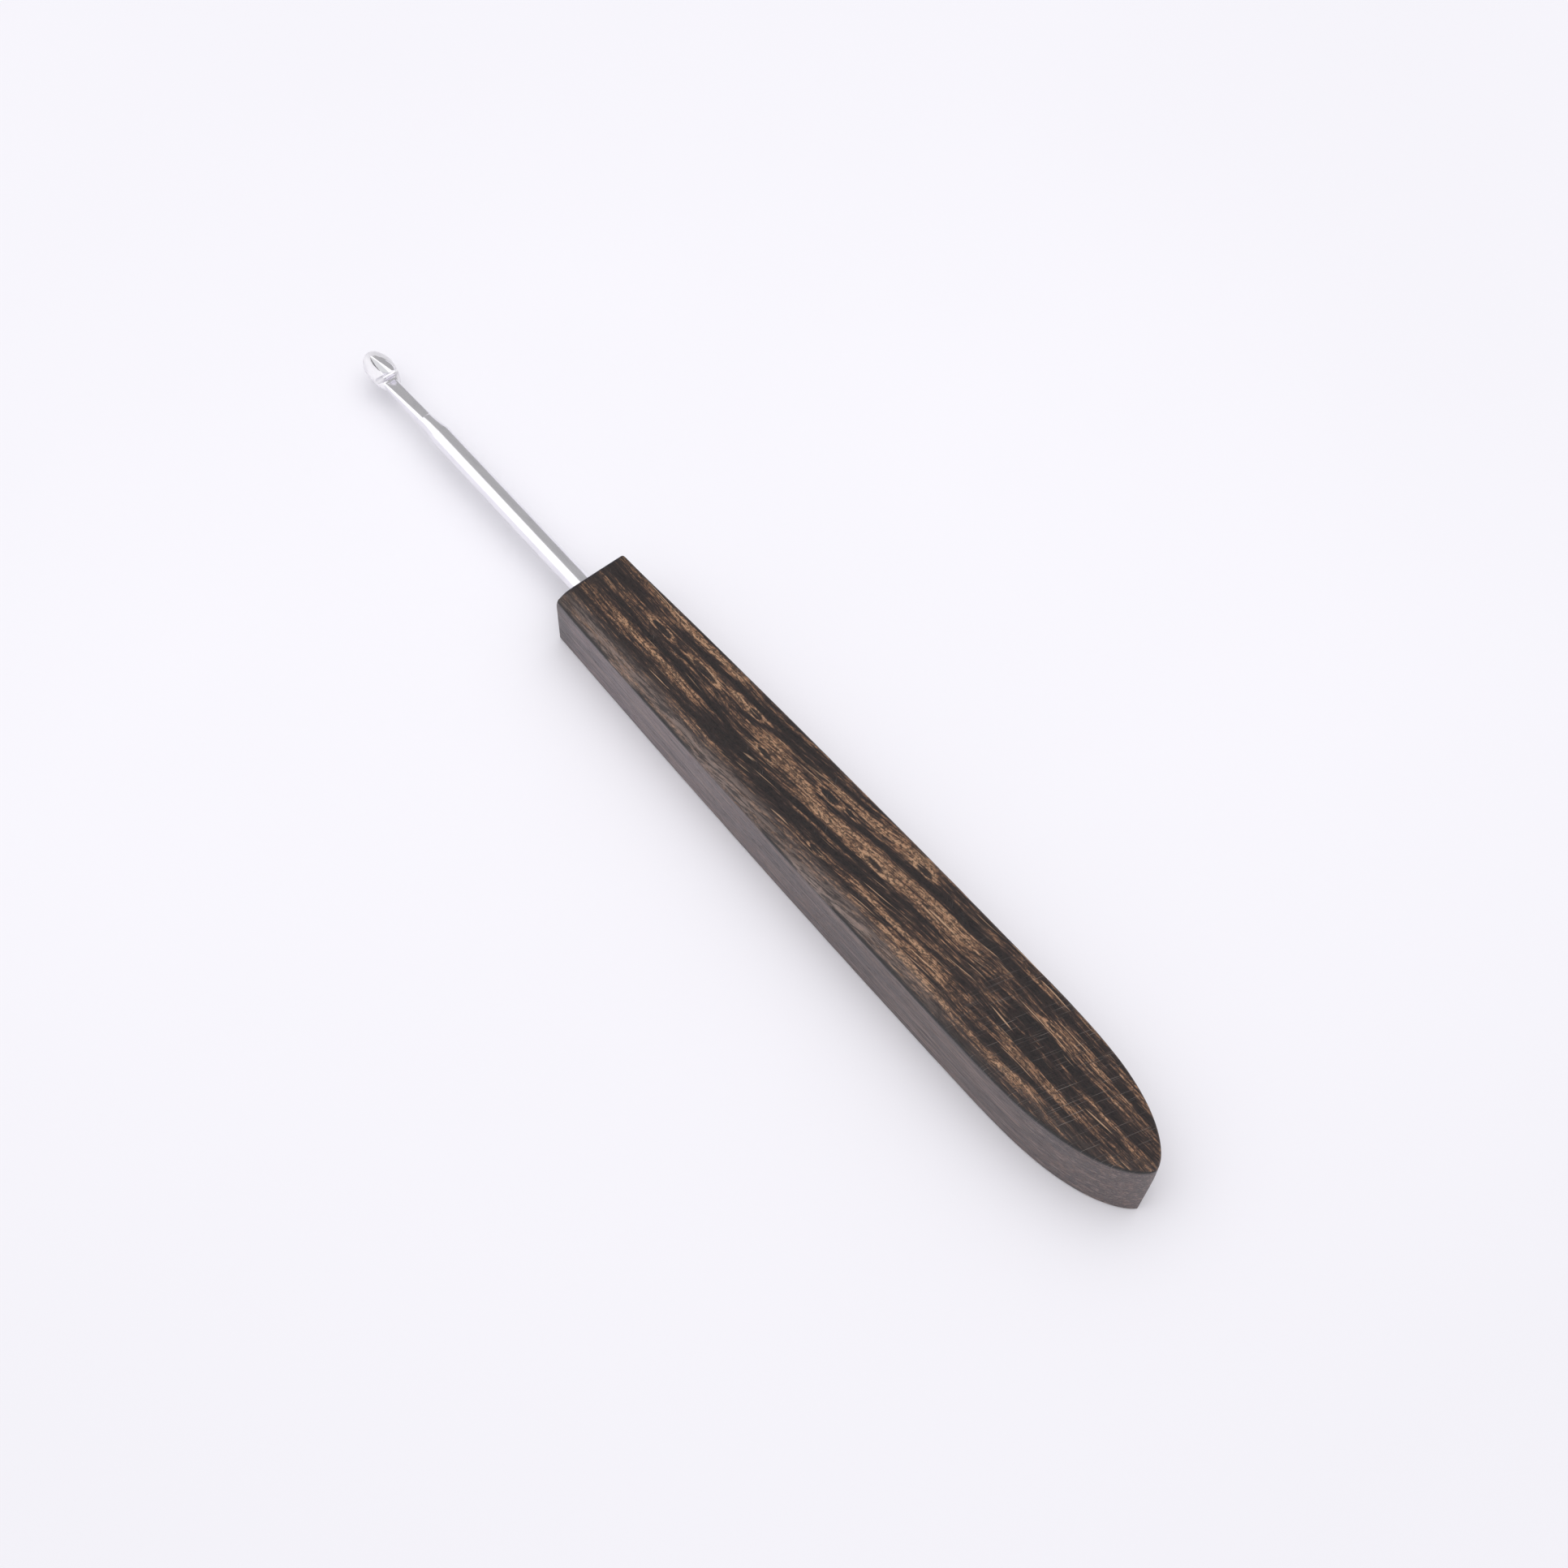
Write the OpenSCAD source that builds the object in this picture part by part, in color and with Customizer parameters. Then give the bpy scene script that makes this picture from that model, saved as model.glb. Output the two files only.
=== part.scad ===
// Crochet hook: a one-piece metal hook glued into a flat hardwood handle.
// The tool lies on the handle's lower broad face, z = 0. X runs along the
// length with +X towards the hook's tip, and the origin is the middle of the
// handle's lower face. The hook's mouth opens upwards, towards +Z.

/* [Handle] */
// Length of the wooden handle
handle_length = 108.35; // [80:0.05:140]
// Width of the handle at its widest station
handle_width = 13.95; // [11:0.05:20]
// Width of the square-cut front end that holds the hook
front_width = 11.2; // [8:0.1:12]
// Thickness at the front end
front_thickness = 9.2; // [7:0.1:12]
// Thickness at the butt
butt_thickness = 11; // [7:0.1:14]
// Where the handle is widest, as a part of its length measured from the front
widest_at = 0.755; // [0.6:0.005:0.85]
// Radius of the sanded edges
edge_round = 0.5; // [0.3:0.1:1.5]
// How far the small sanded flat cuts into the tip of the butt, at its lower edge
butt_flat = 1.05; // [0.1:0.05:1.5]

/* [Hook] */
// Diameter of the round metal shaft
shaft_d = 3; // [2.5:0.1:3.5]
// Length of metal that stands out of the handle
reach = 52.4; // [40:0.1:70]
// Width of the head across its sides
head_width = 4.2; // [3.6:0.1:5]
// Length of the head's rounded nose, from the widest station to the tip
nose_length = 3.7; // [3:0.1:5]
// Width of the yarn slot under the lip
slot_w = 0.9; // [0.7:0.05:1.1]
// Angle between the yarn slot and the shaft
slot_angle = 55; // [45:1:65]
// Width of the neck behind the slot
neck_w = 1.94; // [1.6:0.02:2.2]

/* [Glued joint] */
// Depth of the blind socket, without its drill point
socket_depth = 30; // [20:1:40]
// Length of the hook's hidden tang inside the socket
tang_length = 29; // [18:1:39]
// Thickness of the adhesive around the tang
glue_gap = 0.15; // [0.1:0.05:0.3]
// Depth of the two ring grooves that key the tang into the adhesive
key_depth = 0.25; // [0.1:0.05:0.4]

/* [Hidden] */
$fn = 64;

wood = [0.24, 0.165, 0.115];
metal = [0.78, 0.79, 0.81];
resin = [0.86, 0.74, 0.47];

front_x = handle_length / 2;         // plane of the square-cut front end
butt_x = -handle_length / 2;         // end of the butt
axis_z = front_thickness / 2 + 0.15; // shaft's axis, just above mid-thickness
shaft_r = shaft_d / 2;
socket_r = shaft_r + glue_gap;
overlap = 0.01;                      // lets joined and cut shapes run into each other

// ---- shared helpers ---------------------------------------------------

// Cylinder lying along +X.
module rod(radius, length) rotate([0, 90, 0]) cylinder(r = radius, h = length);

// Profile of [radius, x] points turned about the X axis.
module turned(points) rotate([0, 90, 0]) rotate_extrude() polygon(points);

// Side profile of [x, z] points, made into a plate wider than the hook.
module side_plate() {
    width = 8;
    translate([0, width / 2, 0]) rotate([90, 0, 0]) linear_extrude(width) children();
}

// Closes a +Y half outline with its mirror image. The last point is not
// repeated. The mirror ends at point number stop: 1 if point 0 has y = 0.
function mirrored(points, stop) = concat(points,
    [for (i = [len(points) - 2 : -1 : stop]) [points[i][0], -points[i][1]]]);

// ---- handle -----------------------------------------------------------

mid_len = widest_at * handle_length; // front end to the widest station
tail_len = handle_length - mid_len;  // widest station to the butt
front_half = front_width / 2;
widest_half = handle_width / 2;
swell = widest_half - front_half;
taper = atan((butt_thickness - front_thickness) / handle_length);
tip_power = 0.63;                    // 0.5 is a blunt tail, 0.7 a pointed one
side_steps = 18;
tail_steps = 28;
tail_crowding = 1.4;                 // over 1 crowds the points at the widest station
flat_lean = 6;                       // butt flat's lean from upright
flat_turn = 35;                      // its turn from square across the handle
drill_angle = 118;

// Point of the long side, part = 0 at the front end and 1 at the widest
// station, moved inwards by inset along its own normal.
function side_point(part, inset) =
    let (slope = 2 * swell * (1 - part) / mid_len,
         normal = [slope, 1] / norm([slope, 1]))
    [front_x - part * mid_len, front_half + swell * (1 - pow(1 - part, 2))]
        - inset * normal;

// Point of the rounded tail, angle = 0 at the widest station and 90 at the
// tip, moved inwards likewise.
function tail_point(angle, inset) =
    let (run = pow(sin(angle), 2 / 3),
         gradient = [-3 * run * run / tail_len,
                     pow(cos(angle), 2 - 2 * tip_power) / (tip_power * widest_half)],
         normal = gradient / norm(gradient))
    [front_x - mid_len - run * tail_len, widest_half * pow(cos(angle), 2 * tip_power)]
        - inset * normal;

// The +Y half of the outline, from the front end to the tip of the butt.
function half_outline(inset) = concat(
    [[front_x - inset, front_half - inset]],
    [for (i = [1 : side_steps - 1]) side_point(i / side_steps, inset)],
    [for (i = [0 : tail_steps - 1])
        tail_point(90 * pow(i / tail_steps, tail_crowding), inset)],
    [[butt_x + inset, 0]]);

// Upright bar over the inset outline, from z = low up to a level that lies
// the same distance under the leaning top face.
module bar(inset, low) difference() {
    translate([0, 0, low]) linear_extrude(butt_thickness + 2)
        polygon(mirrored(half_outline(inset), 0));
    translate([front_x, 0, front_thickness - low]) rotate([0, taper, 0])
        translate([-handle_length - 10, -20, 0]) cube([handle_length + 20, 40, 30]);
}

// Flat paddle with its long edges and front edges sanded round. The top face
// rises evenly from the front end to the butt.
module paddle() hull() for (angle = [0 : 30 : 90])
    bar(edge_round * (1 - cos(angle)), edge_round * (1 - sin(angle)));

// Blind hole drilled from the front end, with its drill point.
module socket() translate([front_x, 0, axis_z]) rotate([0, -90, 0]) {
    cylinder(r = socket_r, h = socket_depth);
    translate([0, 0, socket_depth - overlap])
        cylinder(r1 = socket_r, r2 = 0, h = socket_r / tan(drill_angle / 2));
}

// Block that cuts the small flat beside the tip of the butt, on the -Y side.
// The flat leans so that it cuts deepest at the bottom.
module butt_flat_cut() translate([butt_x + butt_flat, 0, 0])
    rotate([0, -flat_lean, flat_turn])
        translate([-10, -15, -20]) cube([10, 30, 50]);

module handle() color(wood) difference() {
    paddle();
    socket();
    // mouth of the hole runs past the front face so that it cuts cleanly
    translate([front_x - overlap, 0, axis_z]) rod(socket_r, 1);
    butt_flat_cut();
}

// ---- hook -------------------------------------------------------------
// Drawn with its axis on the X axis and the front end of the handle at x = 0.

head_x = reach - nose_length; // widest station of the head
head_up = 0.2;                // head's centre above the shaft's axis
head_rear = 2.5;              // length of the rear half of the head's oval
oval_steps = 16;
head_top = 1.28;              // crest of the head's flattened top
head_top_r = 3;
head_bottom = -1.53;          // lowest line of its flattened underside
head_bottom_r = 3.2;

lip_z = 1.66;                 // crest of the tongue at the lip
lip_x = -2.2;                 // where it is measured, from head_x
crest_r = 1.62;
crest_fall = 5;               // crest's fall towards the tip, degrees
tongue_mid = 0.35;            // widest station of the tongue, from head_x
tongue_half = 1.05;           // half its width there
tongue_front = 2.5;           // length ahead of tongue_mid
tongue_rear = 2.35;           // reach behind head_x
tongue_power = 2.2;           // shape of the tongue's pointed front
tongue_steps = 12;

slot_x = head_x - 1.35;       // centre of the slot's round bottom
slot_z = 0.2;

floor_x = slot_x - 0.35;      // where the neck's flat top starts
floor_z = -0.1;               // its height there, from the axis
ramp_x = reach - 15.9;        // where the flat meets the run-out
ramp_z = 0.85;
round_x = reach - 18;         // where the shaft is fully round again
neck_start = ramp_x - 3;      // rear end of the neck, inside the shaft
neck_round = 0.45;            // radius of the neck's upper edges
neck_depth = 3.2;             // neck bar's underside, below the axis

runout_x = ramp_x + 1.6;      // front end of the conical run-out
runout_r = 0.8;               // its radius there
tang_chamfer = 0.5;
groove_starts = [6, 14];      // from the end of the tang
groove_length = 2;

// [radius, x] profile of the head's oval, from its rear end to its nose.
function head_profile() = concat(
    [for (i = [0 : oval_steps]) let (angle = 90 * i / oval_steps)
        [head_width / 2 * sin(angle), -head_rear * cos(angle)]],
    [for (i = [1 : oval_steps]) let (angle = 90 * i / oval_steps)
        [head_width / 2 * cos(angle), nose_length * sin(angle)]]);

// Broad oval head, flattened above and below by large cylinders.
module head_body() {
    length = 20;
    intersection() {
        translate([head_x, 0, head_up]) turned(head_profile());
        translate([head_x - length / 2, 0, head_top - head_top_r])
            rod(head_top_r, length);
        translate([head_x - length / 2, 0, head_bottom + head_bottom_r])
            rod(head_bottom_r, length);
    }
}

// The +Y half of the tongue's leaf outline, from its front to its rear end.
function half_leaf() = concat(
    [for (i = [0 : tongue_steps]) let (angle = 90 * i / tongue_steps)
        [tongue_mid + tongue_front * cos(angle),
         tongue_half * (1 - pow(cos(angle), tongue_power))]],
    [for (i = [1 : tongue_steps]) let (angle = 90 * i / tongue_steps)
        [tongue_mid - (tongue_mid + tongue_rear) * sin(angle),
         tongue_half * cos(angle)]]);

// Leaf-shaped tongue along the top of the head. Its crest rises towards the
// rear, where its rounded end is the lip over the slot.
module head_tongue() translate([head_x, 0, 0]) intersection() {
    linear_extrude(2.5) polygon(mirrored(half_leaf(), 1));
    translate([lip_x, 0, lip_z - crest_r]) rotate([0, 90 + crest_fall, 0])
        translate([0, 0, -2]) cylinder(r = crest_r, h = 9);
}

// Quarter round of the neck's section, as [-z, y] points.
function neck_corner(centre_y, start) = [for (angle = [start : 15 : start + 90])
    [neck_round - floor_z - neck_round * sin(angle),
     centre_y + neck_round * cos(angle)]];

// Bar with rounded upper edges that the neck is cut from, leaning so that its
// top falls towards the head.
module neck_bar() {
    lean = atan((ramp_z - floor_z) / (floor_x - ramp_x));
    half = neck_w / 2;
    section = concat(
        neck_corner(half - neck_round, 0),
        neck_corner(neck_round - half, 90),
        [[neck_depth, -half], [neck_depth, half]]);
    translate([floor_x, 0, 0]) rotate([0, lean, 0])
        translate([neck_start - floor_x, 0, 0]) rotate([0, 90, 0])
            linear_extrude(head_x - 0.8 - neck_start) polygon(section);
}

module neck() intersection() {
    neck_bar();
    translate([neck_start, 0, 0]) rod(shaft_r, head_x - 1 - neck_start);
}

// [radius, x] profile of one ring groove that starts at x.
function groove(x) = [
    [shaft_r, x],
    [shaft_r - key_depth, x + key_depth],
    [shaft_r - key_depth, x + groove_length - key_depth],
    [shaft_r, x + groove_length]];

// Round shaft with its conical run-out into the neck, and the hidden tang
// with a chamfered end and two ring grooves.
module shaft() turned(concat(
    [[0, -tang_length],
     [shaft_r - tang_chamfer, -tang_length],
     [shaft_r, -tang_length + tang_chamfer]],
    [for (start = groove_starts, point = groove(-tang_length + start)) point],
    [[shaft_r, round_x],
     [runout_r, runout_x],
     [0, runout_x]]));

// Slot that runs up and back from its round bottom, under the lip.
module yarn_slot() translate([slot_x, 0, slot_z]) side_plate() union() {
    circle(d = slot_w);
    rotate(180 - slot_angle) translate([0, -slot_w / 2]) square([6, slot_w]);
}

// Everything above the neck behind the slot.
module neck_clearance() {
    top = slot_z + 3.2;
    side_plate() polygon([
        [floor_x + 0.15, floor_z],
        [slot_x - 0.9, top],
        [ramp_x, top],
        [ramp_x, ramp_z]]);
}

module hook() color(metal) translate([front_x, 0, axis_z]) {
    difference() {
        union() {
            head_body();
            head_tongue();
            neck();
        }
        yarn_slot();
        neck_clearance();
    }
    shaft();
}

// ---- adhesive ---------------------------------------------------------

glue_recess = 0.3; // adhesive stops this far behind the front face
glue_block = 60;   // length of the block that trims it, longer than the socket

// Cured adhesive: a sleeve round the tang and a plug behind it, filling the
// socket up to the recess.
module adhesive() color(resin) difference() {
    intersection() {
        socket();
        translate([front_x - glue_block, -10, 0])
            cube([glue_block - glue_recess, 20, 20]);
    }
    translate([front_x, 0, axis_z]) shaft();
}

handle();
hook();
adhesive();
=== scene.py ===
# Crochet hook: a one-piece aluminium hook glued into a flat hardwood handle.
# It lies along X, hook tip towards +X and butt towards -X; the handle rests on
# z = 0, its flat faces up and down. Lengths are in millimetres until each mesh is made.
import bpy
import math
import numpy as np
from mathutils import Matrix, Vector


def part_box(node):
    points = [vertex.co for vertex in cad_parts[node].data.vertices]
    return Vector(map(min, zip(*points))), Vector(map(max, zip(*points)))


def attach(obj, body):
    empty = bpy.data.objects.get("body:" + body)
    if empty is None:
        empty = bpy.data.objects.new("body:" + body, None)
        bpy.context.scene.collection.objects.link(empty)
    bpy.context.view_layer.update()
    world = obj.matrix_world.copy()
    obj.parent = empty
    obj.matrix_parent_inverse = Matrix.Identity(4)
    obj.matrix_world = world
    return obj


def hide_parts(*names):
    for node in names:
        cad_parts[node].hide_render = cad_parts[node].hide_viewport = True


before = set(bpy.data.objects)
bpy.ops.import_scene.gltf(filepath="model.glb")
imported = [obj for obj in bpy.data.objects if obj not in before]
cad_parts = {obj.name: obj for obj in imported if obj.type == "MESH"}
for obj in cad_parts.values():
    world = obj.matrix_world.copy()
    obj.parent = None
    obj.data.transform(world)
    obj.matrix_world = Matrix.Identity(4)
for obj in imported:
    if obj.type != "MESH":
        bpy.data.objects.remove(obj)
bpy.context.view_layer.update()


MM = 0.001
scene = bpy.context.scene

# ---------------------------------------------------------------------------
# Driving dimensions, from the CAD pieces
# ---------------------------------------------------------------------------
handle_low, handle_high = [np.array(p) * 1000 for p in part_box("handle")]
hook_low, hook_high = [np.array(p) * 1000 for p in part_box("hook")]
glue_low, glue_high = [np.array(p) * 1000 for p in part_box("adhesive")]

FRONT = handle_high[0]                 # plane of the handle's front end
BUTT = -FRONT                          # the handle is centred on x = 0
LENGTH = 2 * FRONT
WIDE = (handle_high[1] - handle_low[1]) / 2   # widest half-width
FRONT_WIDE = WIDE * 5.6 / 6.975        # half-width at the front end
MID = 0.755 * LENGTH                   # from the front end to the widest station
TAIL = LENGTH - MID
TAIL_POWER = 0.63                      # how pointed the tail is
FRONT_THICK = 9.2
BUTT_THICK = 11.0
CORNER = 0.38                          # radius of the upright corners at the front end
EDGE_TOP_PLUS, EDGE_TOP_MINUS = 0.34, 0.46    # upper edge radius on the +Y and -Y sides
EDGE_LOW = 0.44                        # lower edge radius

AXIS_Z = (glue_low[2] + glue_high[2]) / 2     # height of the shaft's axis
SOCKET_R = (glue_high[2] - glue_low[2]) / 2
SOCKET_CONE = SOCKET_R / math.tan(math.radians(59))   # length of the conical bottom
SOCKET_DEPTH = FRONT - glue_low[0] - SOCKET_CONE      # straight part
TIP = hook_high[0] - FRONT             # length of metal in front of the handle
TANG = FRONT - hook_low[0]             # length of metal inside the handle

# mesh divisions of the handle
N_SIDE, N_TAIL, N_ARC, N_ACROSS = 260, 150, 5, 88
N_EDGE, N_WALL = 9, 26


# ---------------------------------------------------------------------------
# Shared helpers
# ---------------------------------------------------------------------------
def mesh_object(name, points, faces, smooth=True):
    mesh = bpy.data.meshes.new(name)
    points = np.asarray(points, float) * MM
    mesh.from_pydata([tuple(p) for p in points], [], [tuple(int(i) for i in f) for f in faces])
    mesh.validate(clean_customdata=False)
    mesh.update()
    obj = bpy.data.objects.new(name, mesh)
    scene.collection.objects.link(obj)
    if smooth:
        mesh.polygons.foreach_set("use_smooth", [True] * len(mesh.polygons))
    return obj


def store_masks(mesh, masks):
    """Per-vertex values that the materials read by name."""
    for name, values in masks.items():
        attribute = mesh.attributes.new(name, "FLOAT", "POINT")
        attribute.data.foreach_set("value", values.astype(np.float32))


def noise3(p, seed):
    """Seeded smooth noise from -1 to 1, repeating every 64 units."""
    grid = np.random.default_rng(seed).random((64, 64, 64))
    i = np.floor(p).astype(int)
    f = p - i
    f = f * f * f * (f * (f * 6 - 15) + 10)
    total = 0
    for a in (0, 1):
        for b in (0, 1):
            for c in (0, 1):
                weight = ((f[:, 0] if a else 1 - f[:, 0]) * (f[:, 1] if b else 1 - f[:, 1])
                          * (f[:, 2] if c else 1 - f[:, 2]))
                corner = grid[(i[:, 0] + a) % 64, (i[:, 1] + b) % 64, (i[:, 2] + c) % 64]
                total = total + weight * corner
    return total * 2 - 1


def noise_along(distance, b, c, seed):
    """noise3 along one line, at fixed second and third coordinates."""
    return noise3(np.column_stack([distance, distance * 0 + b, distance * 0 + c]), seed)


def smoothstep(low, high, x):
    t = np.clip((np.asarray(x, float) - low) / (high - low), 0, 1)
    return t * t * (3 - 2 * t)


# ---------------------------------------------------------------------------
# Handle: flat paddle, square-cut front end, long rounded tail
# ---------------------------------------------------------------------------
def half_outline():
    """Points and outward normals of the +Y half of the outline, front to butt."""
    points, normals = [], []
    arc_end = math.atan2(1, 2 * (WIDE - FRONT_WIDE) / MID)
    for i in range(N_ARC + 1):
        a = arc_end * i / N_ARC
        points.append([FRONT - CORNER + CORNER * math.cos(a),
                       FRONT_WIDE - CORNER + CORNER * math.sin(a)])
        normals.append([math.cos(a), math.sin(a)])
    for i in range(1, N_SIDE):
        u = CORNER / MID + (1 - CORNER / MID) * i / N_SIDE
        slope = 2 * (WIDE - FRONT_WIDE) * (1 - u) / MID
        points.append([FRONT - u * MID, FRONT_WIDE + (WIDE - FRONT_WIDE) * (1 - (1 - u) ** 2)])
        normals.append(np.array([slope, 1.0]) / math.hypot(slope, 1))
    for i in range(N_TAIL + 1):
        phi = math.radians(90 * (i / N_TAIL) ** 1.35)   # stations crowd the widest part
        q = math.sin(phi) ** (2 / 3)
        c = max(math.cos(phi), 0.0)
        normal = np.array([-3 * q * q / TAIL, c ** (2 - 2 * TAIL_POWER) / (TAIL_POWER * WIDE)])
        points.append([FRONT - MID - q * TAIL, WIDE * c ** (2 * TAIL_POWER)])
        normals.append(normal / np.linalg.norm(normal))
    points, normals = np.array(points), np.array(normals)
    points[-1] = [BUTT, 0]
    normals[-1] = [-1, 0]
    return points, normals


def closed_outline():
    """Front edge from -Y to +Y, the +Y half to the butt, the -Y half back."""
    points, normals = half_outline()
    reach = FRONT_WIDE - CORNER
    edge = [[FRONT, -reach + 2 * reach * j / N_ACROSS] for j in range(1, N_ACROSS)]
    mirror = np.array([1, -1])
    loop = np.concatenate([edge, points, points[-2::-1] * mirror])
    loop_normals = np.concatenate([[[1, 0]] * len(edge), normals, normals[-2::-1] * mirror])
    return loop, loop_normals, len(points)


def top_z(x):
    return FRONT_THICK + (BUTT_THICK - FRONT_THICK) * (FRONT - x) / LENGTH


def half_width(x):
    """Half-width of the outline at a station."""
    s = FRONT - np.asarray(x, float)
    front = FRONT_WIDE + (WIDE - FRONT_WIDE) * (1 - (1 - np.clip(s / MID, 0, 1)) ** 2)
    q = np.clip((s - MID) / TAIL, 0, 1)
    return np.where(s < MID, front, WIDE * np.clip(1 - q ** 3, 0, 1) ** TAIL_POWER)


def edge_radius(x, full, phase):
    """How round a long edge is: slowly varying, tighter at the front and butt."""
    s = FRONT - x
    radius = full - 0.05 * np.sin(s / 9.0 + phase) * smoothstep(3, 20, s)
    radius = radius * (1 - 0.35 * smoothstep(84, 103, s))
    start = CORNER * 0.85
    return start + (radius - start) * smoothstep(0.0, 5.0, s)


def crown(p):
    """How far the top face falls away: mostly along +Y, barely along -Y."""
    s = FRONT - p[:, 0]
    width = half_width(p[:, 0])
    reach = 4.3 + 0.35 * np.sin(s / 13.0)
    plus = np.clip((p[:, 1] - (width - reach)) / reach, 0, 1.02)
    minus = np.clip((-p[:, 1] - (width - 1.6)) / 1.6, 0, 1.02)
    drop = 0.34 + 0.04 * np.sin(s / 7.5 + 1.0)
    ends = (0.55 + 0.45 * smoothstep(0.0, 5.0, s)) * (1 - smoothstep(88, 104, s))
    up = np.clip((p[:, 2] - 4.5) / (top_z(p[:, 0]) - 4.5), 0, 1) ** 1.5
    return (drop * plus ** 1.7 + 0.05 * minus ** 2) * ends * up


def wall_rings(loop, normals):
    """Rings round the handle: lower edge, wall, upper edge."""
    x = loop[:, 0]
    blend = smoothstep(-3.0, 3.0, loop[:, 1])   # joins the two sides' radii at the ends
    upper = (edge_radius(x, EDGE_TOP_PLUS, 1) * blend
             + edge_radius(x, EDGE_TOP_MINUS, -1) * (1 - blend))
    lower = edge_radius(x, EDGE_LOW, 1)

    def ring(inset, height):
        xy = loop - inset[:, None] * normals
        # an inset may not carry points over the centre line of the narrow tail
        past = (FRONT - x > MID) & (np.sign(xy[:, 1]) != np.sign(loop[:, 1]))
        xy[past, 1] = loop[past, 1] * 0.15
        return np.column_stack([xy, height(top_z(xy[:, 0]))]).tolist()

    quarter = [math.pi / 2 * k / N_EDGE for k in range(N_EDGE + 1)]
    rings = [ring(lower * (1 - math.sin(a)), lambda top: lower * (1 - math.cos(a)))
             for a in quarter]
    rings += [ring(0 * lower, lambda top: lower + (top - upper - lower) * (k / N_WALL))
              for k in range(1, N_WALL)]
    rings += [ring(upper * (1 - math.cos(a)), lambda top: top - upper * (1 - math.sin(a)))
              for a in quarter]
    return rings


def add_cap(co, faces, ring, n_half, flip):
    """Close the top or bottom with straight strips between the two halves."""
    def add(face):
        faces.append(face[::-1] if flip else face)

    corner = N_ACROSS - 1                       # column of the +Y front corner
    plus = ring[corner:corner + n_half]
    minus = ring[::-1][:n_half - 1]
    lines = [ring[corner::-1] + [minus[0]]]
    for i in range(1, n_half - 1):
        a, b = np.array(co[plus[i]]), np.array(co[minus[i]])
        line = [plus[i]]
        for j in range(1, N_ACROSS):
            line.append(len(co))
            co.append((a + (b - a) * (j / N_ACROSS)).tolist())
        lines.append(line + [minus[i]])
    for near, far in zip(lines, lines[1:]):
        for j in range(N_ACROSS):
            add((near[j], far[j], far[j + 1], near[j + 1]))
    for j in range(N_ACROSS):
        add((lines[-1][j], plus[-1], lines[-1][j + 1]))


def add_front(co, faces, grid):
    """Front wall and socket. Returns the index of the first vertex of the hole."""
    low, high = N_EDGE, N_EDGE + N_WALL         # rings bounding the flat wall
    cols = [len(grid[0]) - 1] + list(range(N_ACROSS))   # -Y corner to +Y corner
    border = [grid[low][c] for c in cols]
    border += [grid[r][cols[-1]] for r in range(low + 1, high + 1)]
    border += [grid[high][c] for c in cols[-2::-1]]
    border += [grid[r][cols[0]] for r in range(high - 1, low, -1)]
    rim = np.array([co[i] for i in border])
    angle = np.arctan2(rim[:, 2] - AXIS_Z, rim[:, 1])

    def circle(radius, x):
        return np.column_stack([np.full(len(angle), x), radius * np.cos(angle),
                                AXIS_Z + radius * np.sin(angle)])

    mouth = circle(SOCKET_R + 0.14, FRONT)
    flat = [rim + (mouth - rim) * t for t in (0.2, 0.4, 0.6, 0.8, 0.92)]
    hole = [rim + (mouth - rim) * 1.0,
            circle(SOCKET_R + 0.05, FRONT - 0.05),
            circle(SOCKET_R, FRONT - 0.16)]
    hole += [circle(SOCKET_R, FRONT - depth) for depth in (1.5, 4, 8, 14, 20, 26, SOCKET_DEPTH)]
    hole_start = len(co) + len(flat) * len(border)
    previous, count = border, len(border)
    for points in flat + hole:
        ring = list(range(len(co), len(co) + count))
        co.extend(points.tolist())
        for i in range(count):
            j = (i + 1) % count
            faces.append((previous[i], previous[j], ring[j], ring[i]))
        previous = ring
    apex = len(co)
    co.append([FRONT - SOCKET_DEPTH - SOCKET_CONE, 0, AXIS_Z])
    for i in range(count):
        faces.append((previous[i], previous[(i + 1) % count], apex))
    return hole_start


def flatten_butt(co):
    """Small flat on the -Y side of the butt's tip, leaning slightly under."""
    lean, turn = math.radians(6), math.radians(35)
    inward = np.array([math.cos(lean) * math.cos(turn), math.cos(lean) * math.sin(turn),
                       math.sin(lean)])
    depth = (co - np.array([BUTT + 1.05, 0, 0])) @ inward
    soft = 0.08
    target = 0.5 * (depth + np.sqrt(depth * depth + soft * soft)) - soft * 0.25
    co[:, 0] += np.where(depth < 1.2, np.maximum(target - depth, 0) / inward[0], 0)


def ripple(co, keep):
    """Slow waves of a few hundredths of a millimetre in the outer faces."""
    q = co * np.array([1 / 11.0, 1 / 4.5, 1 / 4.5]) + 7.3
    wave = noise3(q, 11) * 0.035 + noise3(q * np.array([4, 2.6, 2.6]), 12) * 0.012
    outward = np.column_stack([np.zeros(len(co)), np.clip(co[:, 1] / WIDE, -1, 1) ** 3,
                               np.clip((co[:, 2] - 5.0) / 5, -1, 1) ** 3])
    fade = smoothstep(0.0, 1.5, FRONT - co[:, 0]) * smoothstep(0.0, 0.6, co[:, 2])
    co[keep] += (outward * wave[:, None] * fade[:, None])[keep]


def chip_corner(co, keep):
    """Small chip at the +Y front corner of the top face."""
    corner = np.array([FRONT, FRONT_WIDE, top_z(FRONT)])
    distance = np.linalg.norm((co - corner) * np.array([0.8, 0.7, 0.8]), axis=1)
    push = (0.34 * np.exp(-(distance / 0.85) ** 2))[:, None] * np.array([0.85, 0.25, 0.45])
    co -= push * keep[:, None]


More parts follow.
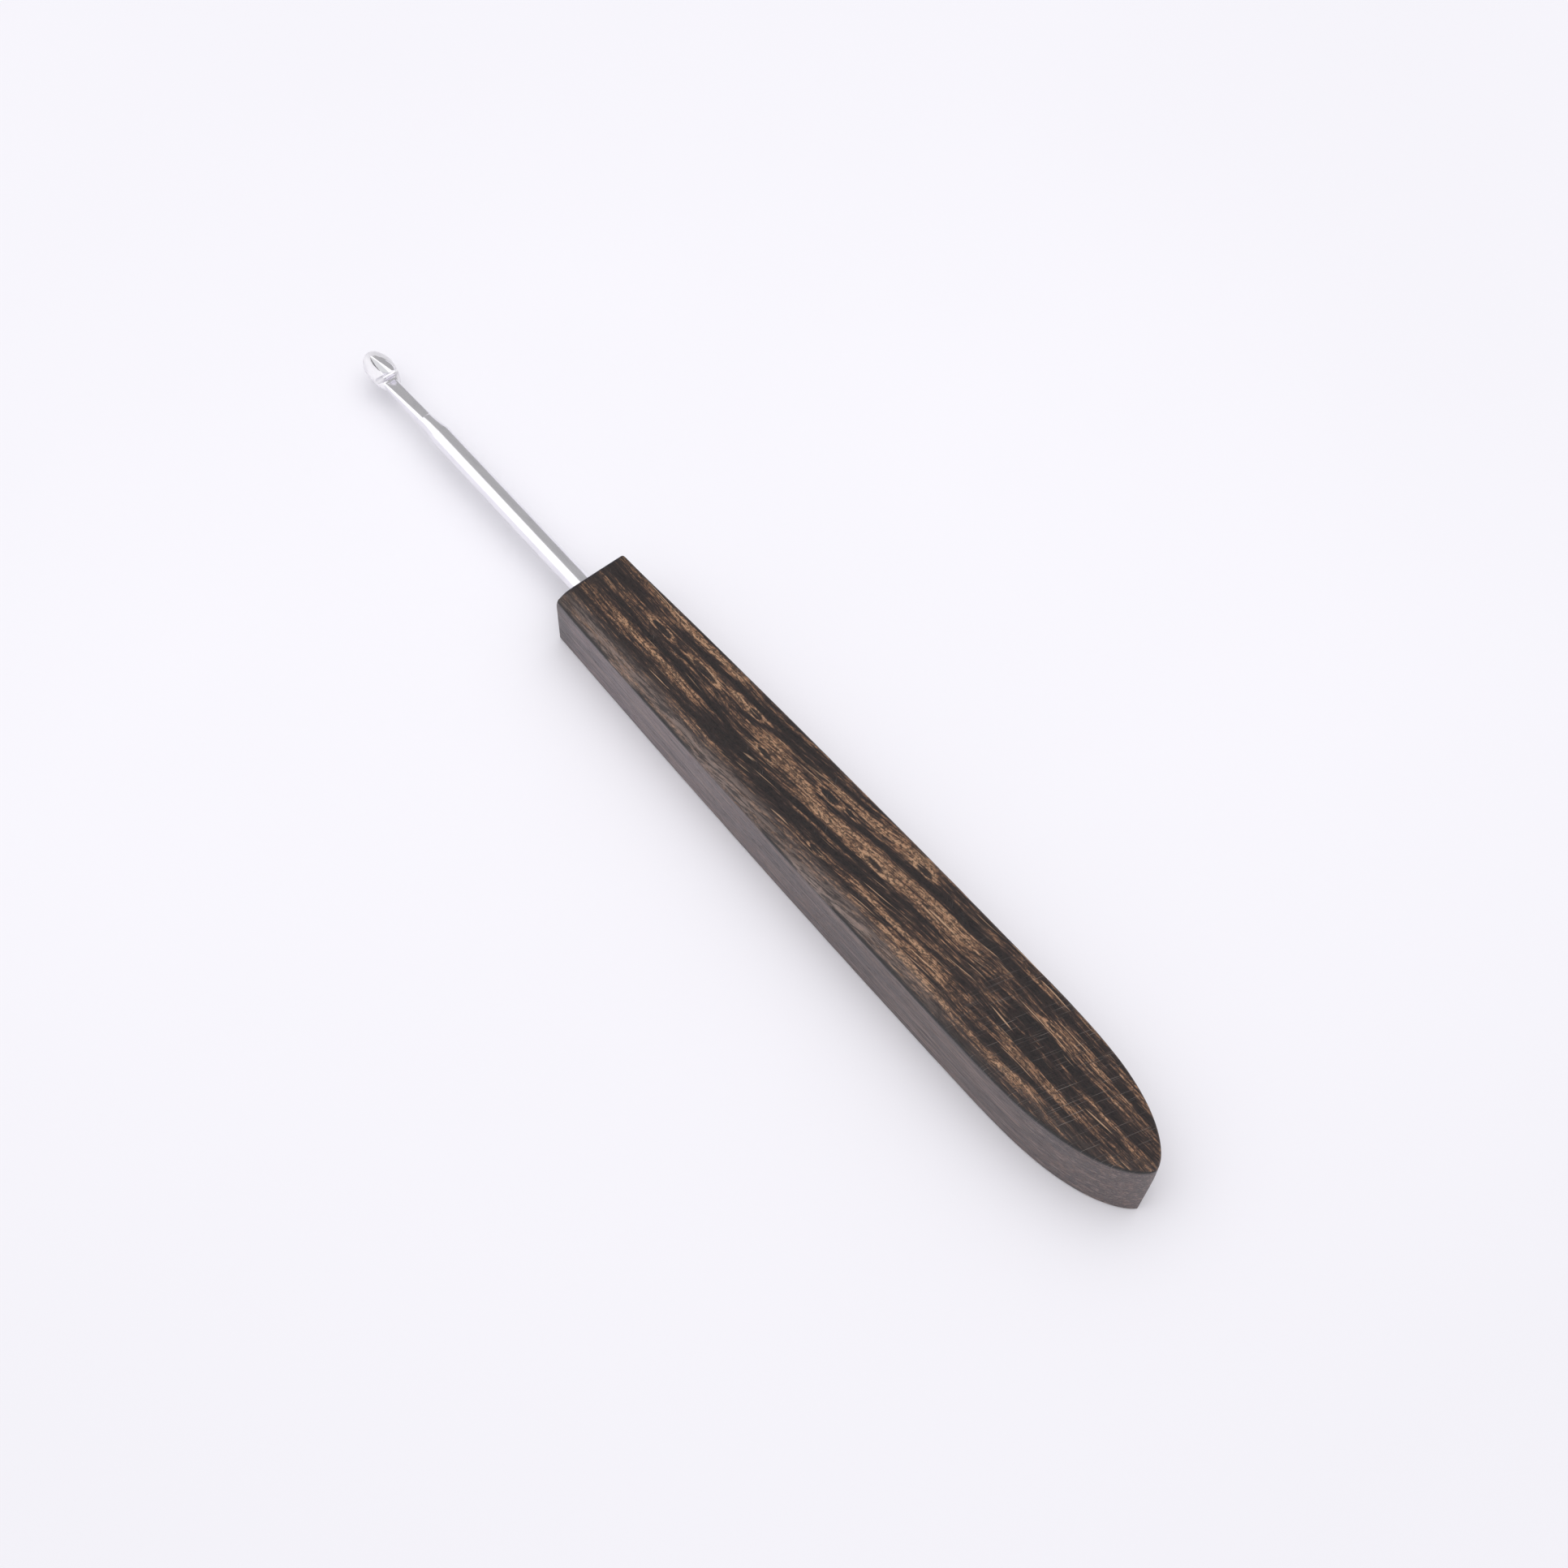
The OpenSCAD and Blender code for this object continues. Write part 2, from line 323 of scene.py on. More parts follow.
def build_handle():
    loop, normals, n_half = closed_outline()
    rings = wall_rings(loop, normals)
    size = len(loop)
    co = [point for ring in rings for point in ring]
    grid = [list(range(r * size, (r + 1) * size)) for r in range(len(rings))]
    faces = []
    for r in range(len(rings) - 1):
        for c in range(size):
            in_front = c < N_ACROSS - 1 or c == size - 1
            if in_front and N_EDGE <= r < N_EDGE + N_WALL:
                continue                        # left open for the front wall
            d = (c + 1) % size
            faces.append((grid[r][c], grid[r][d], grid[r + 1][d], grid[r + 1][c]))
    add_cap(co, faces, grid[-1], n_half, flip=False)
    add_cap(co, faces, grid[0], n_half, flip=True)
    hole_start = add_front(co, faces, grid)

    co = np.array(co)
    outer = np.arange(len(co)) < hole_start
    flatten_butt(co)
    co[:, 2] -= np.where(outer, crown(co), 0)
    ripple(co, outer)
    chip_corner(co, outer)
    obj = mesh_object("wood_handle", co, faces)
    obj.data.set_sharp_from_angle(angle=math.radians(50))
    return obj


# Dark eyes of the growth layers in the top face:
# (distance behind the front end, y, half length, half width, strength)
EYES = [
    (12.8, -2.2, 1.9, 0.42, 1.0), (21.3, -2.4, 2.3, 0.42, 1.0), (30.6, -3.4, 1.2, 0.40, 1.0),
    (27.2, -3.4, 0.9, 0.30, 0.6), (36.0, -0.6, 1.7, 0.40, 0.8), (46.0, -2.9, 1.6, 0.48, 1.0),
    (49.5, -3.3, 1.4, 0.34, 0.7), (61.5, -5.1, 1.6, 0.45, 0.9), (50.8, 3.3, 1.2, 0.34, 0.9),
    (57.0, -1.0, 2.4, 0.50, 0.7), (87.2, -2.9, 1.4, 0.22, 0.7),
]
# Long streaks in the top face: (strength, half width, stations), each station
# (distance behind the front end, y). Dark layers are positive, pale ones negative.
STREAKS = [
    (1.0, 0.36, ((14, -3.6), (22, -3.9), (30, -4.4), (37, -5.0), (48, -5.3))),
    (0.9, 0.34, ((29, -2.2), (36, -4.0), (43, -3.9))),
    (1.0, 0.36, ((4, -0.9), (12, -0.4), (21, -0.3), (29, 0.3), (37, 1.6), (48, 0.7),
                 (58, 0.1), (67, -0.5))),
    (0.8, 0.42, ((1, 4.0), (8, 3.9), (17, 3.3), (26, 2.7), (37, 2.9), (50, 2.9))),
    (1.0, 0.38, ((45, -1.8), (54, -3.1), (61, -3.8), (68, -4.4), (76, -4.5), (87, -4.7))),
    (0.9, 0.46, ((45, 2.2), (52, 1.8), (58, 1.4), (65, 1.2))),
    (0.9, 0.38, ((51, 4.1), (58, 3.7), (64, 3.4))),
    (0.9, 0.34, ((86, -5.5), (95, -4.5), (102, -3.8))),
    (0.8, 0.55, ((82, -1.5), (95, -1.1), (106, -0.8))),
    (0.7, 0.50, ((83, 0.6), (95, 0.7), (104, 0.6))),
    (1.0, 0.30, ((83, 4.3), (89, 3.9), (95, 3.6), (101, 3.0))),
    (0.8, 0.40, ((26, 1.4), (34, 1.9), (41, 2.1))),
    (0.6, 0.30, ((2, -5.5), (13, -5.9), (26, -6.2))),
    (0.6, 0.70, ((0, -3.2), (5, -3.4), (11, -4.2))),
    (-0.8, 0.50, ((15, -5.2), (20, -5.2), (26, -5.5))),
    (-0.5, 0.70, ((6, 0.6), (14, 0.8), (24, 1.2))),
    (-1.0, 1.00, ((33, -1.9), (40, -1.8), (46, -0.9), (56, -1.9), (66, -2.4), (73, -2.6))),
    (-0.9, 0.70, ((46, -4.3), (54, -4.9), (62, -5.3))),
    (-1.0, 0.55, ((57, 2.6), (64, 2.5), (74, 2.6))),
    (-1.0, 0.45, ((64, 4.2), (73, 4.9), (84, 5.1), (93, 4.7))),
    (-0.9, 0.55, ((83, 2.4), (88, 2.7), (95, 2.4), (102, 2.2))),
    (-0.8, 0.42, ((86, -3.7), (95, -3.5), (103, -2.9))),
]


def paint_handle(mesh):
    p = np.array([v.co for v in mesh.vertices]) * 1000
    y = p[:, 1]
    s = FRONT - p[:, 0]
    depth = top_z(p[:, 0]) - crown(p) - p[:, 2]      # below the top face
    eye = np.zeros(len(p))
    for place, y_eye, long, wide, strength in EYES:
        d2 = ((s - place) / long) ** 2 + ((y - y_eye) / wide) ** 2 + (depth / 1.2) ** 2
        eye = np.maximum(eye, strength * np.exp(-0.7 * d2))

    figure = np.zeros(len(p))
    wobble = noise_along(s / 6.0, 3.5, 1.5, seed=21) * 0.10
    for strength, wide, stations in STREAKS:
        places, ys = zip(*stations)
        first, last = places[0], places[-1]
        centre = np.interp(s, places, ys) + wobble
        thick = wide * (1 + 0.35 * noise_along(s / 7.0, wide * 40, first, seed=22))
        ends = smoothstep(first - 2.5, first + 2.5, s) * (1 - smoothstep(last - 3, last + 3, s))
        figure += strength * ends * np.exp(-np.abs((y - centre) / thick) ** 2.6)
    figure *= np.exp(-(depth / 1.1) ** 2)

    beyond = y - half_width(p[:, 0])                 # outside the +Y edge
    # painted sheen: where the crown rolls over on the top's +Y strip, the colour is lightened as
    # by a reflection of the bright surroundings
    painted_sheen = smoothstep(-3.4, -0.5, beyond) * (1 - smoothstep(0.15, 0.5, depth))
    painted_sheen = painted_sheen * (1 - 0.85 * smoothstep(66, 82, s))
    # painted shadow: a thin dark line where the top turns down into the +Y side
    painted_arris_shadow = smoothstep(-0.42, -0.12, beyond) * (1 - smoothstep(0.35, 0.62, depth))
    store_masks(mesh, {"eye": eye, "figure": np.clip(figure, -1.2, 1.2), "painted_sheen": painted_sheen,
                       "painted_arris_shadow": painted_arris_shadow, "side": smoothstep(0.25, 0.7, depth)})


# ---------------------------------------------------------------------------
# Hook: one piece of metal, drawn as an implicit solid and skinned.
# x runs from the handle's front face, and the shaft's axis is the x axis.
# ---------------------------------------------------------------------------
HOOK_ORIGIN = np.array([FRONT, 0, AXIS_Z])
NOSE = 3.65                            # length of the bulb ahead of its widest station
HEAD_X = TIP - NOSE
HEAD_Y = -0.24                         # the bulb sits slightly to -Y of the shaft
LEAF_X = HEAD_X - 0.40                 # widest station of the tongue
LEAF_NOSE, LEAF_TAIL, LEAF_HALF = 2.75, 1.90, 1.0
SLOT_X, SLOT_Z = HEAD_X - 1.55, -0.02  # inner end of the slot's centre line
SLOT_R = 0.42
SLOT_ANGLE = math.radians(138)         # direction of the slot, from +X towards +Z
FLOOR_X, FLOOR_Z = HEAD_X - 2.15, -0.1  # neck's flat top: its low front end
RAMP_X, RAMP_Z = TIP - 16.2, 0.85      # and its high rear end
RAMP_LEAN = (RAMP_Z - FLOOR_Z) / (FLOOR_X - RAMP_X)
ROUND_X = TIP - 18.3                   # where the full round shaft ends
SHAFT_R = 1.5
TANG_END = -TANG
GROOVES = (TANG_END + 7.0, TANG_END + 15.0)
GROOVE_DEPTH = 0.25
FINE = 0.065                           # grid step of the skin


def soft_min(a, b, soft):
    h = np.clip(0.5 + 0.5 * (b - a) / soft, 0, 1)
    return b * (1 - h) + a * h - soft * h * (1 - h)


def soft_max(a, b, soft):
    return -soft_min(-a, -b, soft)


def egg(dx, dy, dz, front, rear, wide, high):
    """Distance-like value of an egg with different half lengths each way."""
    long = np.where(dx > 0, front, rear)
    k0 = np.sqrt((dx / long) ** 2 + (dy / wide) ** 2 + (dz / high) ** 2) + 1e-9
    k1 = np.sqrt((dx / long ** 2) ** 2 + (dy / wide ** 2) ** 2 + (dz / high ** 2) ** 2) + 1e-9
    return k0 * (k0 - 1) / k1


def leaf(x, y):
    """Outline of the tongue on top of the head: how far outside it a point is,
    and the place across it, measured from its ridge."""
    along = x - LEAF_X
    across = y - (-0.53 + 0.145 * along)
    front = LEAF_HALF * np.clip(1 - np.clip(along / LEAF_NOSE, 0, 1.4) ** 2.0, -1, 1)
    oval = np.sqrt((np.minimum(along, 0) / LEAF_TAIL) ** 2 + (across / LEAF_HALF) ** 2) + 1e-9
    rear = (oval - 1) * LEAF_HALF * 0.95
    return np.where(along < 0, rear, (np.abs(across) - front) * 0.9), across


def bulb_solid(x, y, z):
    """Egg-shaped bulb that sinks behind its widest station, trimmed by a cylinder."""
    ahead = x - HEAD_X
    y_mid = HEAD_Y - 0.05 * np.clip(ahead, 0, 4)
    z_mid = -0.32 - 0.68 * np.clip(-ahead / 1.8, 0, 1) ** 1.5
    body = egg(ahead, y - y_mid, z - z_mid, front=NOSE, rear=3.5, wide=2.06, high=1.42)
    return soft_max(body, np.hypot(y - y_mid, z - 1.15) - 2.68, soft=0.35)


def head_solid(x, y, z):
    """Bulb with a leaf-shaped, ridged tongue that rises towards its rear end."""
    outside, across = leaf(x, y)
    twist = 0.07 * np.clip(across, 0, 1.2) * np.clip(x - LEAF_X, -2.3, 2.8)
    crest = 0.96 + 0.11 * np.clip(HEAD_X + 2.35 - x, -1, 5.2)
    ridge = crest - 0.11 * across - np.sqrt((0.39 * across) ** 2 + 0.03 ** 2) - twist
    top = (z - ridge) * 0.9
    head = soft_max(bulb_solid(x, y, z), -soft_max(outside, -top, soft=0.05), soft=0.05)
    tongue = soft_max(soft_max(outside, top, soft=0.30), -0.6 - z, soft=0.1)
    return soft_min(head, tongue, soft=0.06)


def slot_solid(x, z):
    """The slanting slot cut under the rear of the head."""
    ux, uz = math.cos(SLOT_ANGLE), math.sin(SLOT_ANGLE)
    px, pz = x - SLOT_X, z - SLOT_Z
    along = np.clip(px * ux + pz * uz, 0, 6)
    return np.hypot(px - along * ux, pz - along * uz) - SLOT_R


def neck_solid(x, y, z, radius, ramp_z, slot):
    """Leaning flat top with rounded shoulders, inside the shaft's round."""
    rise = (FLOOR_X - x) / (FLOOR_X - RAMP_X)
    shoulder = 0.42 + 0.60 * np.clip(rise, 0, 1)
    half = 0.97 + 0.10 * np.clip(rise, 0, 1.4) ** 2
    flat = (z - ramp_z) / math.sqrt(1 + RAMP_LEAN * RAMP_LEAN)
    neck = soft_max(flat, np.abs(y) - half, soft=shoulder)
    neck = soft_max(neck, radius - SHAFT_R, soft=0.18)
    neck = soft_max(neck, x - (HEAD_X - 1.0), soft=0.1)
    neck = soft_max(neck, (RAMP_X - 3) - x, soft=0.1)
    return soft_max(neck, -slot, soft=0.42)


def shaft_solid(x, radius):
    """Round shaft, its conical run-out, and the tang with two ring grooves."""
    cone = SHAFT_R - (x - ROUND_X) * 0.7 / (RAMP_X + 1.6 - ROUND_X)
    shaft = soft_max(radius - SHAFT_R, (radius - cone) * 0.98, soft=0.05)
    shaft = soft_max(shaft, x - (RAMP_X + 1.4), soft=0.15)
    shaft = soft_max(shaft, TANG_END - x, soft=0.3)
    for groove in GROOVES:
        wall = np.abs(x - groove) - 1.0 + np.clip(SHAFT_R - radius, 0, GROOVE_DEPTH)
        ring = np.maximum(wall, SHAFT_R - GROOVE_DEPTH - radius)
        shaft = soft_max(shaft, -ring, soft=0.05)
    return shaft


def hook_solid(p):
    """Below zero inside the metal."""
    x, y, z = p[..., 0], p[..., 1], p[..., 2]
    radius = np.hypot(y, z)
    slot = slot_solid(x, z)
    ramp_z = FLOOR_Z + (FLOOR_X - x) * RAMP_LEAN
    over_neck = np.maximum(-(z - ramp_z), x - (HEAD_X - 2.6))
    opening = soft_min(slot, over_neck, soft=0.10)
    head = soft_max(head_solid(x, y, z), -opening, soft=0.10)
    neck = neck_solid(x, y, z, radius, ramp_z, slot)
    metal = soft_min(neck, shaft_solid(x, radius), soft=0.22)
    return soft_min(metal, head, soft=0.12)


def gradient(p, h=0.004):
    g = np.empty_like(p)
    for axis in range(3):
        ahead = p.copy()
        ahead[:, axis] += h
        behind = p.copy()
        behind[:, axis] -= h
        g[:, axis] = (hook_solid(ahead) - hook_solid(behind)) / (2 * h)
    return g


def skin(xs, ys, zs):
    """Surface net: one vertex per crossed cell, one quad per crossed grid edge."""
    grids = np.meshgrid(xs, ys, zs, indexing="ij")
    field = hook_solid(np.stack(grids, -1))
    field = np.where(np.abs(field) < 1e-7, 1e-7, field)
    inside = field < 0
    cells = tuple(n - 1 for n in field.shape)
    total, count = np.zeros(cells + (3,)), np.zeros(cells)
    crossings = []
    for axis in range(3):
        start, end = [slice(None)] * 3, [slice(None)] * 3
        start[axis], end[axis] = slice(0, -1), slice(1, None)
        start, end = tuple(start), tuple(end)
        cross = inside[start] != inside[end]
        t = np.where(cross, field[start] / np.where(cross, field[start] - field[end], 1), 0)
        place = np.stack([g[start] + (g[end] - g[start]) * t for g in grids], -1)
        u, v = [a for a in range(3) if a != axis]
        for du in (0, 1):
            for dv in (0, 1):                   # the cells touching each edge
                part = [slice(None)] * 3
                part[u] = slice(1, None) if du else slice(0, -1)
                part[v] = slice(1, None) if dv else slice(0, -1)
                part = tuple(part)
                total += np.where(cross[part][..., None], place[part], 0)
                count += cross[part]
        crossings.append(cross)
    used = count > 0
    cell_id = -np.ones(cells, int)
    cell_id[used] = np.arange(used.sum())
    points = total[used] / count[used][:, None]

    quads = []
    for axis, cross in enumerate(crossings):
        u, v = [a for a in range(3) if a != axis]
        at = np.argwhere(cross)
        at = at[(at[:, u] > 0) & (at[:, v] > 0)
                & (at[:, u] < field.shape[u] - 1) & (at[:, v] < field.shape[v] - 1)]
        corners = []
        for du, dv in ((1, 1), (0, 1), (0, 0), (1, 0)):
            cell = at.copy()
            cell[:, u] -= du
            cell[:, v] -= dv
            corners.append(cell_id[cell[:, 0], cell[:, 1], cell[:, 2]])
        keep = inside[at[:, 0], at[:, 1], at[:, 2]]
        if axis == 1:                           # u x v points along -axis here
            keep = ~keep
        quad = np.stack(corners, -1)
        quad[~keep] = quad[~keep][:, ::-1]
        quads.append(quad)
    return points, np.concatenate(quads)


def hook_stations():
    """Grid stations along x: coarse on plain shaft, close at grooves and the head."""
    spans = (                                   # start, stop, step
        (TANG_END + 0.8, TANG_END + 5.6, 0.5), (TANG_END + 5.7, TANG_END + 8.4, 0.1),
        (TANG_END + 8.4, TANG_END + 13.6, 0.5), (TANG_END + 13.7, TANG_END + 16.4, 0.1),
        (TANG_END + 16.4, ROUND_X - 1.6, 0.5), (ROUND_X - 1.5, ROUND_X + 0.01, 0.15),
        (ROUND_X + 0.07, TIP + 0.2, FINE))
    xs = np.concatenate([np.array([TANG_END - 0.3, TANG_END - 0.12]),
                         TANG_END + np.arange(-0.04, 0.8, 0.08)]
                        + [np.arange(*span) for span in spans])
    xs = np.unique(np.round(xs, 4))
    return xs[np.concatenate([[True], np.diff(xs) > 0.03])]


def build_hook():
    points, faces = skin(hook_stations(), np.arange(-2.8, 2.2, FINE), np.arange(-1.95, 2.1, FINE))
    for _ in range(4):                          # draw the vertices onto the surface
        g = gradient(points)
        step = hook_solid(points) / np.maximum((g * g).sum(1), 0.2)
        points = points - np.clip(step, -0.05, 0.05)[:, None] * g
    g = gradient(points)
    normals = g / np.maximum(np.linalg.norm(g, axis=1), 1e-6)[:, None]
    points = points + HOOK_ORIGIN
    obj = mesh_object("metal_hook", points, faces)
    obj.data.normals_split_custom_set_from_vertices([tuple(n) for n in normals])
    paint_hook(obj.data, points - HOOK_ORIGIN)
    return obj


def paint_hook(mesh, p):
    x, y, z = p.T
    outside, across = leaf(x, y)
    # the head is satin, except for its tongue; the neck is bright
    flank = smoothstep(HEAD_X - 3.4, HEAD_X - 2.8, x) * smoothstep(0.85, 1.15, np.abs(y + 0.1))
    satin = np.maximum(smoothstep(HEAD_X - 1.9, HEAD_X - 1.5, x), flank)
    satin = satin * smoothstep(0.0, 0.12, outside)
    # the tongue's +Y flank is duller than its ridge: a painted dim reflection that darkens its
    # colour
    ridge = 0.10 + 0.30 * np.clip((HEAD_X + 0.6 - x) / 2.5, 0, 1)
    painted_dim_reflection = smoothstep(0.02, -0.06, outside) * smoothstep(ridge, ridge + 0.14, across)
    painted_dim_reflection *= smoothstep(0.0, 0.3, z) * smoothstep(HEAD_X - 2.4, HEAD_X - 2.1, x)
    store_masks(mesh, {"satin": satin, "painted_dim_reflection": painted_dim_reflection})


# ---------------------------------------------------------------------------
# Node helpers
# ---------------------------------------------------------------------------
class Nodes:
    """Small helper that keeps node trees readable."""
    def __init__(self, tree):
        self.tree = tree
        tree.nodes.clear()

    def new(self, kind, **settings):
        node = self.tree.nodes.new(kind)
        for name, value in settings.items():
            setattr(node, name, value)
        return node

    def put(self, socket, value):
        if isinstance(value, bpy.types.NodeSocket):
            self.tree.links.new(value, socket)
        else:
            socket.default_value = value

    def filled(self, kind, values, **settings):
        """A new node with its inputs, by index or name, linked or set."""
        node = self.new(kind, **settings)
        for key, value in values.items():
            self.put(node.inputs[key], value)
        return node

    def math(self, operation, *values):
        return self.filled("ShaderNodeMath", dict(enumerate(values)),
                           operation=operation).outputs[0]

    def fold(self, operation, first, rest):
        for value in rest:
            first = self.math(operation, first, value)
        return first

    def add(self, first, *rest): return self.fold("ADD", first, rest)
    def mul(self, first, *rest): return self.fold("MULTIPLY", first, rest)
    def sub(self, a, b): return self.math("SUBTRACT", a, b)
    def invert(self, value): return self.sub(1.0, value)
    def weigh(self, value, weight): return self.mul(value, weight)

    def split(self, vector):
        return self.filled("ShaderNodeSeparateXYZ", {0: vector}).outputs

    def join(self, x, y, z):
        return self.filled("ShaderNodeCombineXYZ", {0: x, 1: y, 2: z}).outputs[0]

    def fade(self, value, lo, hi):
        """Smooth 0 to 1 as the value goes from lo to hi."""
        return self.filled("ShaderNodeMapRange",
                           {"Value": value, "From Min": lo, "From Max": hi,
                            "To Min": 0.0, "To Max": 1.0},
                           interpolation_type="SMOOTHSTEP").outputs[0]

    def mix_shaders(self, factor, a, b):
        return self.filled("ShaderNodeMixShader", {0: factor, 1: a, 2: b}).outputs[0]


class Material(Nodes):
    """A material tree with positions in millimetres."""
    def __init__(self, name):
        self.material = bpy.data.materials.new(name)
        self.material.use_nodes = True
        super().__init__(self.material.node_tree)
        coords = self.new("ShaderNodeTexCoord").outputs["Object"]
        self.pos = self.filled("ShaderNodeVectorMath", {0: coords, "Scale": 1000.0},
                               operation="SCALE").outputs[0]

    def noise(self, size, detail, rough, at=None, shift=(0, 0, 0)):
        """Noise whose features are about size millimetres along each axis."""
        vector = self.filled("ShaderNodeVectorMath",
                             {0: self.pos if at is None else at,
                              1: tuple(1 / length for length in size), 2: shift},
                             operation="MULTIPLY_ADD").outputs[0]
        return self.filled("ShaderNodeTexNoise",
                           {"Vector": vector, "Scale": 1.0, "Detail": detail,
                            "Roughness": rough, "Distortion": 0.0}).outputs["Fac"]

    def swing(self, **noise):
        """Noise centred on zero."""
        return self.sub(self.noise(**noise), 0.5)

    def ramp(self, value, stops):
        node = self.filled("ShaderNodeValToRGB", {0: value})
        elements = node.color_ramp.elements
        while len(elements) > 1:
            elements.remove(elements[-1])
        elements[0].position = stops[0][0]
        elements[0].color = (*stops[0][1], 1)
        for position, color in stops[1:]:
            elements.new(position).color = (*color, 1)
        return node.outputs[0]

    def mix(self, factor, a, b):
        a, b = [(*c, 1) if isinstance(c, tuple) else c for c in (a, b)]
        return self.filled("ShaderNodeMix", {0: factor, 6: a, 7: b}, data_type="RGBA").outputs[2]

    def layer(self, under, mask, amount, over):
        """Lay a colour over another where the mask shows, at a strength."""
        return self.mix(self.mul(mask, amount), under, over)

    def attribute(self, name):
        return self.new("ShaderNodeAttribute", attribute_name=name).outputs["Fac"]

    def bump(self, height, distance, strength):
        return self.filled("ShaderNodeBump", {"Strength": strength, "Distance": distance,
                                              "Height": height}).outputs[0]

    def principled(self, inputs):
        return self.filled("ShaderNodeBsdfPrincipled", inputs).outputs[0]

    def finish(self, shader):
        self.filled("ShaderNodeOutputMaterial", {"Surface": shader})
        return self.material


# ---------------------------------------------------------------------------
# Wood
# ---------------------------------------------------------------------------
class Wood(Material):
    # colour of the tissue by tone: (tone, colour), dark to pale
    TONES = [(0.0, (0.007, 0.004, 0.005)), (0.28, (0.016, 0.008, 0.009)),
             (0.42, (0.042, 0.023, 0.019)), (0.54, (0.092, 0.050, 0.034)),
             (0.68, (0.192, 0.096, 0.053)), (0.88, (0.33, 0.174, 0.095)),
             (1.0, (0.43, 0.250, 0.145))]
    # the grain leans to -Y between these distances behind the front end
    DRIFT_START, DRIFT_END, DRIFT_SLOPE = 30.0, 76.0, 0.085

    def __init__(self):
        super().__init__("wenge_wood")
        self.x, self.y, z = self.split(self.pos)
        self.behind = self.sub(FRONT, self.x)   # distance behind the front end
        self.eye = self.attribute("eye")
        self.side = self.attribute("side")
        held = self.math("MAXIMUM", self.behind, self.DRIFT_START)
        held = self.math("MINIMUM", held, self.DRIFT_END)
        drift = self.mul(self.sub(held, self.DRIFT_START), self.DRIFT_SLOPE)
        slow = self.swing(size=(16, 5, 5), detail=1.0, rough=0.4)
        across = self.add(self.y, drift, self.weigh(slow, weight=1.5))
        self.grain = self.join(self.x, across, z)
        self.fibre = self.swing(size=(3.0, 0.13, 0.13), detail=3.0, rough=0.65,
                                at=self.grain, shift=(4, 4, 4))
        self.hair = self.swing(size=(2.6, 0.26, 0.26), detail=2.0, rough=0.7,
                               at=self.grain, shift=(8, 3, 6))

    def tone(self):
        """Darkness of the layers: uneven bands with thin lines inside them."""
        broad = self.swing(size=(34, 0.95, 1.1), detail=1.0, rough=0.5,
                           at=self.grain, shift=(9.0, 2.0, 4.0))
        lines = self.swing(size=(20, 0.33, 0.30), detail=2.0, rough=0.6,
                           at=self.grain, shift=(3.0, 6.0, 1.0))
        patch = self.swing(size=(12, 2.2, 2.0), detail=2.0, rough=0.5,
                           at=self.grain, shift=(1.0, 5.0, 8.0))
        threads = self.add(self.weigh(self.fibre, weight=1.05),
                           self.weigh(self.hair, weight=1.60))
        band = self.add(self.weigh(broad, weight=0.98), self.weigh(lines, weight=1.45),
                        self.weigh(patch, weight=0.50), threads)
        # streaks with ragged edges
        ragged = self.add(1.0, self.weigh(self.add(lines, self.fibre), weight=1.3))
        streaks = self.mul(self.attribute("figure"), ragged)
        band = self.sub(band, self.weigh(streaks, weight=0.47))
        # broken pale rim round each eye
        rim = self.mul(self.fade(self.eye, lo=0.08, hi=0.30),
                       self.invert(self.fade(self.eye, lo=0.42, hi=0.60)))
        gaps = self.noise(size=(1.4, 0.5, 0.5), detail=2.0, rough=0.6, shift=(7.0, 2.0, 1.0))
        rim = self.mul(rim, self.fade(gaps, lo=0.28, hi=0.52))
        band = self.add(band, self.weigh(rim, weight=0.52))
        level = 0.465                           # overall paleness
        aft = self.fade(self.behind, lo=78.0, hi=96.0)
        tone = self.sub(self.add(band, level), self.weigh(aft, weight=0.05))
        # the sides are much calmer and paler: part of the painted sheen
        calm = self.invert(self.weigh(self.side, weight=0.42))
        return self.add(self.mul(tone, calm), self.weigh(self.side, weight=0.24))

    def tissue(self):
        """Coloured layers with eye cores, speckle, grains, flecks and pores."""
        tone = self.tone()
        color = self.ramp(tone, self.TONES)
        core = self.fade(self.add(self.eye, self.weigh(self.fibre, weight=0.5)),
                         lo=0.42, hi=0.62)
        color = self.layer(color, core, amount=0.9, over=(0.010, 0.008, 0.010))
        speckle = self.noise(size=(0.60, 0.27, 0.27), detail=3.0, rough=0.85, at=self.grain)
        self.speckle = self.fade(speckle, lo=0.46, hi=0.55)
        top_amount = 0.84                       # speckle strength away from the sides
        color = self.layer(color, self.speckle, over=(0.022, 0.013, 0.011),
                           amount=self.sub(top_amount, self.weigh(self.side, weight=0.40)))
        grains = self.swing(size=(0.85, 0.15, 0.15), detail=2.0, rough=0.7,
                            at=self.grain, shift=(5.5, 1.5, 2.5))
        grains = self.mul(self.fade(grains, lo=0.04, hi=0.22), self.fade(tone, lo=0.34, hi=0.62))
        color = self.layer(color, grains, amount=0.38, over=(0.28, 0.163, 0.098))
        flecks = self.noise(size=(8.0, 0.21, 0.25), detail=0.0, rough=0.5,
                            at=self.grain, shift=(6.2, 3.3, 9.1))
        color = self.layer(color, self.fade(flecks, lo=0.755, hi=0.82),
                           amount=0.80, over=(0.48, 0.30, 0.18))
        pores = self.noise(size=(1.7, 0.11, 0.11), detail=0.0, rough=0.5,
                           at=self.grain, shift=(2.2, 8.3, 5.1))
        self.pores = self.fade(pores, lo=0.66, hi=0.76)
        return self.layer(color, self.pores, amount=0.75, over=(0.006, 0.005, 0.006))

